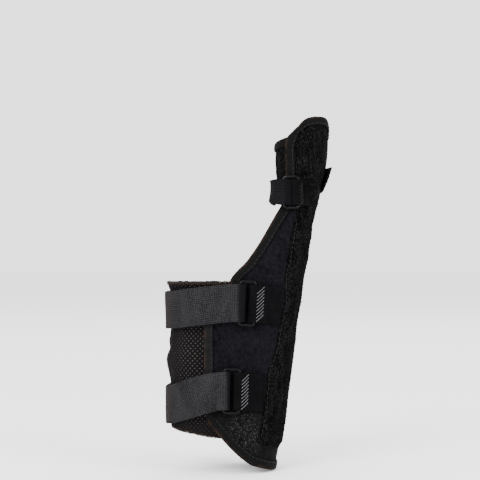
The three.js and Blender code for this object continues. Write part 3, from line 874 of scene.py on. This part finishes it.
def bent_track(level, place, tilts):
    """Height of a strap's middle line at each angle. It slants up to its ring and turns there."""
    middle = height_of(level)
    far, near = (math.tan(math.radians(tilt)) / 2 for tilt in tilts)

    def bend(x):
        return (near + far) * x + (near - far) * np.hypot(x + bend_place, bend_spread)

    def track(angle):
        x = limb(angle, np.full_like(angle, middle, float))[..., 0]
        return middle + bend(x - place) - bend(0)

    return track


upper_track, lower_track = bent_track(**upper_run), bent_track(**lower_run)


def inside_panel(angle, z):
    """Millimetres inside the panel from its nearer side edge, negative beyond it."""
    turned = np.arctan2(np.sin(angle), np.cos(angle))
    return np.minimum(back_edge(z) - turned, turned - palm_edge(z)) * pace(turned, z)


def sleeve_rise(angle, z):
    half = strap_width / 2
    low, high = lower_track(angle) + half, upper_track(angle) - half
    share = np.clip((z - low) / (high - low), 0, 1)
    above = np.clip((z - upper_track(angle) - half) / (sleeve_top - high), 0, 1)
    swell = np.sin(np.pi * share)
    fold = fold_depth * np.exp(-(((share - fold_level) / fold_width) ** 2))
    bulge = sleeve_bulge * swell**bulge_shape
    free = smooth(-inside_panel(angle, z), 2, 16)
    return free * (np.maximum(0, bulge - fold * swell) + sleeve_flare * above)


def sleeve_place(u, v):
    low = -sleeve_bottom - sleeve_sag * np.abs(2 * u - 1) ** sag_shape
    z = low + (sleeve_top - low) * v
    start = palm_edge(z) + 2 * np.pi + tuck / pace(palm_edge(z), z)
    end = back_edge(z) - tuck / pace(back_edge(z), z)
    return start + (end - start) * u, z


def shape_sleeve(u, v):
    angle, z = sleeve_place(u, v)
    free = smooth(-inside_panel(angle, z), 3, 12)

    def creased(depth, radius, size, seed, up):
        return depth * wrinkles(angle * radius, up, size, seed)

    creases = sum(creased(*pucker, z) for pucker in puckers)
    ragged = creased(*hem_waves, z * 0) * (smooth(v, 0.97, 1) + smooth(-v, -0.03, 0))
    height = sleeve_rise(angle, z) - under_gap + (creases - free_sink) * free
    return skin(angle, z + ragged, height), np.stack([angle * sleeve_radius, z], -1)


def perforated_knit():
    """Knit with staggered rows of small holes. Near the panel, their rims catch the light."""
    finish = Finish("perforated_knit")
    across, along = finish.cloth()
    line = along * (1 / hole_row)
    shift = (line.whole() * 0.5).fraction()
    cell_x = ((across * (1 / hole_pitch) + shift).fraction() - 0.5) * hole_pitch
    cell_y = (line.fraction() - 0.5) * hole_row
    away = (cell_x * cell_x + cell_y * cell_y).math("SQRT")
    hem = along.step(-50, -43)
    hole = (1 - away.step(*hole_edge)) * hem
    near = (1 - across.step(82, 98) * 0.85) * (hem * 0.8 + 0.2)
    rim = (1 - away.step(*rim_edge)) * near
    strands = across.ripple(strand_pitch)
    shade = finish.noise(11, 4) * 0.4 + strands * 0.4
    colour = finish.mix(rim * 0.9, finish.ramp(shade, *brown_black), rim_colour)
    return finish.surface(
        Base_Color=colour,
        Roughness=0.88 - rim * 0.2,
        Alpha=1 - hole,
        Specular_IOR_Level=0.04,
        Normal=finish.bump(strands * 0.4 + rim * 0.6 - hole, 0.3),
    )


def overlock(name, v_edge, inward):
    """Loops of thread over an edge of the sleeve: a slanted stitch on the face for each, and one
    along the edge to the next."""
    u = np.linspace(0.02, 0.98, 900)
    v = np.full_like(u, v_edge)
    spots = shape_sleeve(u, v)[0]
    angle, z = sleeve_place(u, v)
    outs = outward(angle, z)
    run = run_along(spots)
    steps = np.arange(0, run[-1] - overlock_pitch, overlock_pitch)
    uneven = np.random.default_rng(3).normal(size=(len(steps), 1))
    up = unit(at_run(steps, run, outs))
    rise = np.array([0, 0, 1.0]) * inward
    edge = at_run(steps, run, spots) + rise * (-0.2 + 0.08 * uneven)
    foot = at_run(steps + overlock_pitch * overlock_slant, run, spots) + up * overlock_stand
    foot = foot + rise * (overlock_depth + 0.18 * uneven)
    over = at_run(steps + overlock_pitch, run, spots) + rise * (-0.25 + 0.1 * uneven)
    starts = np.concatenate([foot, edge + up * 0.2])
    ends = np.concatenate([edge + up * 0.3, over + up * 0.1])
    return sewn_threads(name, starts, ends, np.concatenate([up, up]), overlock_thickness)


mesh_sleeve = grid_piece("mesh_sleeve_knit", *sleeve_cells, shape_sleeve)
mesh_sleeve.data.materials.append(perforated_knit())
finish_mesh(mesh_sleeve, sleeve_cloth_wall)
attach(mesh_sleeve, "root")
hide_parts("mesh_sleeve")

brown_thread = sewing_thread("brown_thread", brown_colour, 0.6)
for name, v_edge, inward in (("top", 1, -1), ("bottom", 0, 1)):
    loops = overlock(f"sleeve_{name}_overlock", v_edge, inward)
    loops.data.materials.append(brown_thread)
    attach(loops, "root")


# Thumb flap
# The inner flap that wraps the inner side of the thumb. It is tucked under the front flap at
# both sides, and a tape is folded over its top edge.
flap_cells = (120, 70)
flap_wall, flap_cloth_wall = 2.4, 2.1
flap_bottom, flap_top = 101, 140
flap_rise = 5
flap_girth, flap_show = 78, 2.5
flap_sink = 0.2
thumb_radius = 17


def flap_place(u, v):
    z = flap_bottom + (flap_top + flap_rise * smooth(u, 0.5, 1) - flap_bottom) * v
    start = palm_edge(z) + 2 * np.pi + tuck / pace(palm_edge(z), z)
    end = back_edge(z) - tuck / pace(back_edge(z), z)
    return start + (end - start) * u, z


def shape_flap(u, v):
    angle, z = flap_place(u, v)
    pile = 0.08 * np.random.default_rng(9).normal(size=angle.shape)
    waves = 0.2 * wrinkles(angle * thumb_radius, z, 15, 6)
    height = -under_gap - flap_sink + pile + waves
    return skin(angle, z, height), np.stack([angle * thumb_radius, z], -1)


thumb_flap = grid_piece("thumb_flap_cloth", *flap_cells, shape_flap)
thumb_flap.data.materials.append(pile_finish)
finish_mesh(thumb_flap, flap_cloth_wall)
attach(thumb_flap, "root")
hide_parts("thumb_flap")


def flap_hem(u, v):
    return u, v - tape_width / (flap_top - flap_bottom)


flap_side = (tuck + flap_show) / flap_girth
flap_edge = border(flap_place, [(1 - flap_side, 1), (flap_side, 1)], False)
flap_low = -under_gap - flap_wall - seam_gap - tape_wall / 2
flap_high = -under_gap + seam_gap + tape_wall / 2
flap_rows = folded_tape(flap_edge, flap_place, flap_hem, flap_low, flap_high)
flap_binding = strip_piece("flap_binding_tape", flap_rows)
flap_binding.data.materials.append(tape_finish)
finish_mesh(flap_binding, tape_wall, 0)
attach(flap_binding, "root")
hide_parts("flap_binding")


# Straps
# Elastic webbing sewn to the palm side, brought round the little-finger side, through the ring
# on the back of the hand and back over itself. The thumb's strap is narrower and its end lifts.
tape_top = panel_wall + seam_gap + tape_wall
layer_gap = 0.4
fold_gap, fold_slack = 0.5, 1
ring_bar = 2
edge_stand, edge_settle = 4, 6
fold_reach, fold_run = 2, 5
thumb_strap_height, thumb_strap_tilt, thumb_strap_rise = height_of(0.786), 9, 8
end_lift, end_lift_run, end_lift_share = 4.2, (-11, 3), 0.25
ribbon_cells = 16
angle_step, doubled_over = math.radians(1.2), math.radians(8)
elastic_rib, elastic_cord = 1.5, 1.36
box_inset, box_half, box_lift = 2, 0.42, 0.02
wrist = {"width": strap_width, "wall": 1.4, "slot": 8, "anchor": 288, "end": 236}
thumb = {"width": 17, "wall": 1.2, "slot": 7.5, "anchor": 300, "end": 385}
fastenings = {
    "upper": {**wrist, "place": upper_run["place"], "tent": 14, "box": 16},
    "lower": {**wrist, "place": lower_run["place"], "tent": 14, "box": 16},
    "thumb": {**thumb, "place": 43.5, "tent": 8, "box": 9},
}


def thumb_track(angle):
    angle = np.asarray(angle, float)
    at_ring = fastenings["thumb"]["place"]
    x, _, wide, _ = section(thumb_strap_height)
    ring_angle = math.acos((at_ring - x) / wide)
    end = math.radians(fastenings["thumb"]["end"])
    tilt = math.tan(math.radians(thumb_strap_tilt))
    across = limb(angle, np.full_like(angle, thumb_strap_height))[..., 0] - at_ring
    rise = thumb_strap_rise * (angle - ring_angle) / (end - ring_angle)
    return thumb_strap_height + tilt * across + rise


tracks = {"upper": upper_track, "lower": lower_track, "thumb": thumb_track}


def angle_of(points):
    x, y, wide, deep = section(points[..., 2])
    return np.arctan2((y - points[..., 1]) / deep, (points[..., 0] - x) / wide)


def track_frame(track, angle):
    """Directions of a strap's track: its height, along it, across it and out from the limb."""
    turn = 0.01
    z = track(angle)
    ahead = skin(angle + turn, track(angle + turn), 0) - skin(angle - turn, track(angle - turn), 0)
    out = outward(angle, z)
    side = unit(np.cross(unit(ahead), out))
    return z, unit(np.cross(out, side)), side, out


def track_place(track, angle, across):
    z, _, side, _ = track_frame(track, angle)
    spot = skin(angle, z, 0) + side * np.asarray(across, float)[..., None]
    return angle_of(spot), spot[..., 2]


def on_track(track, angle, across, height):
    return skin(*track_place(track, angle, across), height)


def resting_height(track, angle, width, tent):
    """Height of what lies under a strap: tape at the panel's edges, panel, or inner layer."""
    heights = []
    for share in (-0.5, -0.25, 0, 0.25, 0.5):
        inside = inside_panel(*track_place(track, angle, share * width))
        off = smooth(-inside, edge_stand, edge_stand + tent)
        on = smooth(inside, tape_width + edge_stand, tape_width + edge_stand + edge_settle)
        outer = tape_top * (1 - off) - under_gap * off
        heights.append(outer * (1 - on) + panel_wall * on)
    return np.max(heights, axis=0)


def crown(track, angle, width):
    """How far the limb rises over a straight line laid across the track."""
    z, _, _, out = track_frame(track, angle)
    middle = skin(angle, z, 0)
    sides = [on_track(track, angle, across, 0) for across in (-width / 2, width / 2)]
    return np.maximum(0, np.maximum(*(((spot - middle) * out).sum(-1) for spot in sides)))


def bar_place(track, ring_angle, ring_height, shift):
    """Angle and height of one of a ring's bars, found from the flat ring itself."""
    z, along, _, _ = track_frame(track, ring_angle)
    bar = skin(ring_angle, z, ring_height) + along * shift
    angle, height = ring_angle + shift / pace(ring_angle, z), ring_height
    for _ in range(6):
        z, along, _, out = track_frame(track, angle)
        away = bar - skin(angle, z, 0)
        height = float(away @ out)
        turn = 5e-3
        ahead = skin(angle + turn, z, height) - skin(angle - turn, z, height)
        angle = angle + float(away @ along) / (np.linalg.norm(ahead) / (2 * turn))
    return float(angle), height


def fold_line(track, bar, radius, side, steps=18):
    """Half a turn of cloth round a bar, from under it to over it."""
    angle, height = bar
    speed = pace(angle, track(angle))
    turn = np.linspace(-np.pi / 2, np.pi / 2, steps + 1)[1:-1]
    reach = side * (radius + fold_slack) / speed
    line = (angle - reach * np.cos(turn), height + radius * np.sin(turn), np.ones_like(turn))
    return np.stack(line, -1)


def ribbon_rows(facts, line):
    """Points of a ribbon's middle sheet, a row across it for each place on its line."""
    track, width, side = facts["track"], facts["width"], facts["side"]
    angle, height, flat = line.T
    across = np.linspace(-0.5, 0.5, ribbon_cells + 1) * width
    middle = skin(angle, track(angle), height)
    angles, heights = (value[:, None] + 0 * across for value in (angle, height))
    on_limb = on_track(track, angles, across[None, :], heights)
    straight = middle[:, None] + across[None, :, None] * side
    share = flat[:, None, None]
    return on_limb * (1 - share) + straight * share


def set_ring(name):
    """Places of a ring and its two bars, from the strap's track."""
    facts, track = fastenings[name], tracks[name]
    x, _, wide, _ = section(track(np.pi / 2))
    ring_angle = float(angle_across((facts["place"] - x) / wide))
    stand = float(crown(track, np.array([ring_angle]), facts["width"])[0]) + layer_gap
    ring_height = tape_top + stand + facts["wall"] + fold_gap + ring_bar / 2
    shift = (facts["slot"] + ring_bar) / 2
    _, _, side, _ = track_frame(track, np.float64(ring_angle))
    facts.update(
        track=track,
        side=side,
        ring_angle=ring_angle,
        ring_height=ring_height,
        left=bar_place(track, ring_angle, ring_height, shift),
        right=bar_place(track, ring_angle, ring_height, -shift),
    )
    return facts


def strap_line(facts):
    """Angle, height and flatness along a strap, from its sewn end to its free end."""
    track, width, wall = facts["track"], facts["width"], facts["wall"]
    bar_angle, bar_height = facts["left"]
    anchor, end = math.radians(facts["anchor"]), math.radians(facts["end"])
    radius = ring_bar / 2 + fold_gap + wall / 2
    speed = pace(bar_angle, track(bar_angle))

    def flat(angle):
        return 1 - smooth(angle - bar_angle, fold_reach / speed, (fold_reach + fold_run) / speed)

    def rest(angle):
        crowned = np.where(flat(angle) > 0, crown(track, angle, width), 0)
        return resting_height(track, angle, width, facts["tent"]) + crowned + layer_gap + wall / 2

    def rise(low, high, angle):
        return low + flat(angle) * np.maximum(0, high - low)

    def under(angle):
        return rise(rest(angle), bar_height - radius, angle)

    def over(angle):
        doubled = 1 - smooth(angle, anchor, anchor + doubled_over)
        low = np.maximum(rest(angle), under(np.minimum(angle, anchor)) * doubled)
        return rise(low + doubled * (wall + layer_gap), bar_height + radius, angle)

    def layer(start, stop, height):
        angle = np.linspace(start, stop, int(abs(stop - start) / angle_step) + 2)
        return np.stack([angle, height(angle), flat(angle)], -1)

    return np.concatenate(
        [
            layer(anchor, bar_angle, under),
            fold_line(track, facts["left"], radius, 1),
            layer(bar_angle, end, over),
        ]
    )


def ribbon_spot(rows, run, share, lift):
    """Points over a ribbon, millimetres along it and a share of its width from its middle, and
    the directions out of the face that lies outside on the ribbon's last layer."""
    length = run_along(rows[:, ribbon_cells // 2])

    def sample(at, across):
        i = np.interp(at, length, np.arange(len(length)))
        j = np.clip((across + 0.5) * ribbon_cells, 0, ribbon_cells)
        i0 = np.minimum(i.astype(int), len(rows) - 2)
        j0 = np.minimum(j.astype(int), ribbon_cells - 1)
        p, q = (i - i0)[:, None], (j - j0)[:, None]
        low = rows[i0, j0] * (1 - q) + rows[i0, j0 + 1] * q
        high = rows[i0 + 1, j0] * (1 - q) + rows[i0 + 1, j0 + 1] * q
        return low * (1 - p) + high * p

    inner = np.clip(share, -0.48, 0.48)
    ahead = sample(run + 0.4, share) - sample(run - 0.4, share)
    sideways = sample(run, inner + 0.02) - sample(run, inner - 0.02)
    out = unit(np.cross(sideways, ahead))
    return sample(run, share) + out * lift, out


def woven_elastic(name, dark, light, fold):
    """Knitted elastic of short floats in staggered rows. It is browner on its far side, and in
    shade from where it turns down round the ring's bar."""
    finish = Finish(name)
    along, across = finish.cloth()
    checks = (along * (1 / elastic_rib) + across * (1 / elastic_cord)).ripple(1)
    weave = along.ripple(elastic_rib) * across.ripple(elastic_cord) * 0.6 + checks * 0.4
    fuzz = finish.noise(0.9, 3)
    shade = finish.noise(9, 4, (1, 1, 0.5)) * 0.3 + weave * 0.4 + fuzz * 0.6
    colour = finish.ramp(shade, (0.4, dark), (0.9, light))
    x = finish.place(0)
    colour = finish.mix((1 - x.step(-42, -33)) * 0.5, colour, brown_side)
    colour = finish.mix(x.step(fold - 1.4, fold + 1.2) * 0.9, colour, fold_shade)
    return finish.surface(
        Base_Color=colour,
        Roughness=0.88 - weave * 0.14,
        Specular_IOR_Level=0.05,
        Normal=finish.bump(weave * 0.8 + fuzz * 0.5, 0.3),
    )


grey = ((0.0010, 0.0010, 0.0012), (0.0250, 0.0248, 0.0268))
black = ((0.0006, 0.0006, 0.0008), (0.0062, 0.0058, 0.0074))
brown_side, fold_shade = (0.014, 0.010, 0.0088), (0.0012, 0.0011, 0.0018)
elastics = {
    "upper": woven_elastic("upper_elastic", *grey, fold=7.1),
    "lower": woven_elastic("lower_elastic", *grey, fold=-0.5),
    "thumb": woven_elastic("thumb_elastic", *black, fold=38),
}
for name in fastenings:
    facts = set_ring(name)
    rows = ribbon_rows(facts, strap_line(facts))
    run = run_along(rows[:, ribbon_cells // 2])
    if name == "thumb":
        lift = end_lift * smooth(run, *(run[-1] + at for at in end_lift_run))[:, None]
        lift = lift * np.linspace(end_lift_share, 1, ribbon_cells + 1)
        rows += outward(angle_of(rows), rows[..., 2]) * lift[..., None]
    strap = strip_piece(f"{name}_strap_webbing", rows)
    strap.data.materials.append(elastics[name])
    finish_mesh(strap, facts["wall"], 0, 0.4)
    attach(strap, "root")
    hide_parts(f"{name}_strap")
    flat = (facts["width"] * metre, run[-1] * metre)

    last = run[-1] - box_inset
    for part, start, stop, facing in (
        ("anchor", box_inset, box_inset + facts["box"], -1),
        ("end", last - facts["box"], last, 1),
    ):
        path = [(start, -1), (stop, -1), (stop, 1), (start, 1), (start, -1)]
        path = np.array(path) * (1, box_half)
        reach = run_along(path * (1, facts["width"]))
        run_spots, shares = at_run(np.linspace(0, reach[-1], 200), reach, path).T
        spots, outs = ribbon_spot(rows, run_spots, shares, facts["wall"] / 2 * facing)
        row_name = f"{name}_strap_{part}_stitches"
        box_stitches = stitch_row(row_name, spots, outs * facing, box_lift)
        box_stitches.data.materials.append(dark_thread)
        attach(box_stitches, "root")


# Rings
# Glossy moulded rectangular rings with rounded bars, one for each strap. The strap runs through
# the slot and the tab holds the other bar.
ring_play = 0.8
ring_corner = 2
ring_segments = (160, 16)
bar_fullness = 0.72
moulded_black, scuffed = (0.0006, 0.0006, 0.0008), (0.003, 0.003, 0.0034)


def rounded_path(wide, high, corner, steps=12):
    """Points round a rectangle with round corners, and the directions out from it."""
    turn = np.linspace(0, np.pi / 2, steps)
    spots, outs = [], []
    for quarter, (sx, sy) in enumerate(((1, 1), (-1, 1), (-1, -1), (1, -1))):
        angle = turn + quarter * np.pi / 2
        out = np.stack([np.cos(angle), np.sin(angle)], -1)
        middle = np.array([sx * (wide / 2 - corner), sy * (high / 2 - corner)])
        spots.append(middle + out * corner)
        outs.append(out)
    spots, outs = np.concatenate(spots), np.concatenate(outs)
    return np.concatenate([spots, spots[:1]]), np.concatenate([outs, outs[:1]])


def moulded_plastic():
    finish = Finish("moulded_plastic")
    orange_peel = finish.noise(0.9, 2)
    scuffs = finish.noise(2.4, 5, (1, 1, 2.5)).step(0.56, 0.72)
    return finish.surface(
        Base_Color=finish.mix(scuffs * 0.5, moulded_black, scuffed),
        Roughness=scuffs * 0.2 + 0.12,
        Specular_IOR_Level=0.09,
        Normal=finish.bump(orange_peel, 0.03),
    )


ring_finish = moulded_plastic()
for name, facts in fastenings.items():
    bpy.ops.mesh.primitive_torus_add(
        major_segments=ring_segments[0],
        minor_segments=ring_segments[1],
        major_radius=1,
        minor_radius=0.25,
    )
    ring = bpy.context.object
    ring.name = ring.data.name = f"{name}_ring_moulded"
    co = np.array([v.co[:] for v in ring.data.vertices])
    round_ring = np.arctan2(co[:, 1], co[:, 0]) % (2 * np.pi)
    section_turn = np.arctan2(co[:, 2], np.hypot(co[:, 0], co[:, 1]) - 1)
    bar = np.stack([np.cos(section_turn), np.sin(section_turn)], -1)
    bar = np.sign(bar) * np.abs(bar) ** bar_fullness * ring_bar / 2
    spots, outs = rounded_path(
        facts["slot"] + ring_bar, facts["width"] + 2 * ring_play + ring_bar, ring_corner
    )
    reach = run_along(spots)
    at = round_ring / (2 * np.pi) * reach[-1]
    flat = at_run(at, reach, spots) + unit(at_run(at, reach, outs)) * bar[:, :1]
    z, along, side, out = track_frame(facts["track"], np.float64(facts["ring_angle"]))
    middle = skin(np.float64(facts["ring_angle"]), z, facts["ring_height"])
    spots = middle + flat[:, :1] * along - flat[:, 1:] * side + bar[:, 1:] * out
    ring.data.vertices.foreach_set("co", (spots * metre).ravel())
    bpy.ops.object.mode_set(mode="EDIT")
    bpy.ops.mesh.select_all(action="SELECT")
    bpy.ops.mesh.normals_make_consistent(inside=False)
    bpy.ops.object.mode_set(mode="OBJECT")
    bpy.ops.object.shade_smooth()
    ring.data.materials.append(ring_finish)
    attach(ring, "root")
    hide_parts(f"{name}_ring")


# Ring tabs
# Woven tape folded round each ring's bar and sewn to the panel. A row of slanted satin stitches
# beside the bar holds the two layers. Its thread is bright at the wrist and dark at the thumb.
tab_wall = 1.2
tab_step = 1.5
pocket_seam = 1
thumb_tab_length = 6.5
satin = {
    "upper": {"near": 1.0, "far": 6.0, "slant": 0.2},
    "lower": {"near": 1.2, "far": 6.2, "slant": 0.2},
    "thumb": {"near": 0.8, "far": 3.6, "slant": 0.16},
}
satin_pitch, satin_thickness, satin_lift = 2.3, 0.36, 0.1
satin_reach, satin_margin = 0.47, 0.6
satin_parts = 4
leg_steps = 24
herring_width, herring_twill = 3.2, 0.9
black_tab = (0.3, (0.0003, 0.0003, 0.0004)), (0.8, (0.0046, 0.0046, 0.0052))
bright_colour = (0.125, 0.125, 0.13)


def tab_line(facts, length):
    angle, height = facts["right"]
    track = facts["track"]
    radius = ring_bar / 2 + fold_gap + tab_wall / 2
    speed = pace(angle, track(angle))
    low = panel_wall + layer_gap + tab_wall / 2
    share = np.linspace(0, 1, leg_steps)

    def leg(start, stop, shorter):
        turned = angle - share * (length - shorter) / speed
        heights = start + (stop - start) * smooth(share, 0.1, 0.6)
        return np.stack([turned, heights, 1 - smooth(share, 0.2, 0.7)], -1)

    under = leg(height - radius, low, 0)[::-1]
    over = leg(height + radius, low + tab_wall + seam_gap, tab_step)
    fold = fold_line(track, facts["right"], radius, -1)
    return np.concatenate([under, fold, over]), len(under) + len(fold)


def tab_length(facts):
    angle, _ = facts["right"]
    track = facts["track"]
    gaps = []
    for share in (-0.5, 0, 0.5):
        turned, z = track_place(track, np.float64(angle), share * facts["width"])
        gaps.append((turned - angle_across(pocket_at(level_of(z)))) * pace(angle, track(angle)))
    return float(min(gaps)) - pocket_seam


def tab_tape():
    finish = Finish("tab_tape")
    along, across = finish.cloth()
    herring = ((across * (1 / herring_width)).fraction() - 0.5).size() * herring_width
    twill = (along + herring).ripple(herring_twill)
    shade = finish.noise(6, 4) * 0.5 + twill * 0.5
    return finish.surface(
        Base_Color=finish.ramp(shade, *black_tab),
        Roughness=0.85 - twill * 0.2,
        Specular_IOR_Level=0.02,
        Normal=finish.bump(twill, 0.18),
    )


tab_finish = tab_tape()
bright_thread = sewing_thread("bright_thread", bright_colour, 0.4)
for name, facts in fastenings.items():
    length = thumb_tab_length if name == "thumb" else tab_length(facts)
    line, over_bar = tab_line(facts, length)
    rows = ribbon_rows(facts, line)
    tab = strip_piece(f"{name}_ring_tab_tape", rows)
    tab.data.materials.append(tab_finish)
    finish_mesh(tab, tab_wall, 0, 0.35)
    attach(tab, "root")
    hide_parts(f"{name}_ring_tab")

    fold_end = run_along(rows[:, ribbon_cells // 2])[over_bar]
    near, far, slant = (satin[name][key] for key in ("near", "far", "slant"))
    far = min(far, length - tab_step - satin_margin)
    shares = np.arange(-satin_reach, satin_reach - slant, satin_pitch / facts["width"])
    bends = []
    for part in np.linspace(0, 1, satin_parts + 1):
        run = np.full_like(shares, fold_end + near + (far - near) * part)
        lift = -tab_wall / 2 - satin_lift
        spots, out = ribbon_spot(rows, run, shares + slant * part, lift)
        bends.append(spots)
    stitches = sewn_threads(
        f"{name}_satin_stitches",
        np.concatenate(bends[:-1]),
        np.concatenate(bends[1:]),
        np.tile(-out, (satin_parts, 1)),
        satin_thickness,
    )
    stitches.data.materials.append(dark_thread if name == "thumb" else bright_thread)
    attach(stitches, "root")
